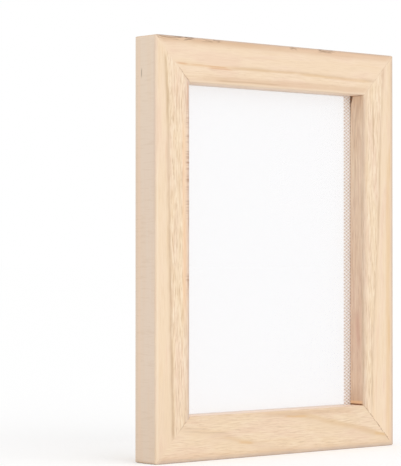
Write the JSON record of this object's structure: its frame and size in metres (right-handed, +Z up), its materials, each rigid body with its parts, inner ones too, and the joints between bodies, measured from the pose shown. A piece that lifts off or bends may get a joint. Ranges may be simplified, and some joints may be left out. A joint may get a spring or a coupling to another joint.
{
  "type": "screen printing frame",
  "caption": "Rectangular wooden frame with mitred corners and a fine white mesh stretched across its opening, held in a rabbet by pinned battens, for screen printing.",
  "frame": {"origin": "middle of the bottom edge of the upright frame, at half its thickness", "axes": "+X to the right seen from the front, -Y out of the front (the squeegee side), +Z up along the stiles"},
  "size_m": [0.2032, 0.019, 0.254],
  "materials": {
    "frame_wood": "bare, planed and lightly sanded pale softish wood with open grain, no varnish",
    "batten_wood": "bare, planed pale wood",
    "mesh_fabric": "plain-woven white polyester monofilament, see-through, threads cover about two fifths of the area",
    "steel": "bright wire and strip steel"
  },
  "bodies": {
    "root": {"left_stile": "frame_wood", "right_stile": "frame_wood", "top_rail": "frame_wood", "bottom_rail": "frame_wood", "mesh": "mesh_fabric", "left_batten": "batten_wood", "right_batten": "batten_wood", "top_batten": "batten_wood", "bottom_batten": "batten_wood", "left_brads": "steel", "right_brads": "steel", "top_brads": "steel", "bottom_brads": "steel", "top_left_v_nails": "steel", "top_right_v_nails": "steel", "bottom_left_v_nails": "steel", "bottom_right_v_nails": "steel"}
  },
  "joints": []
}
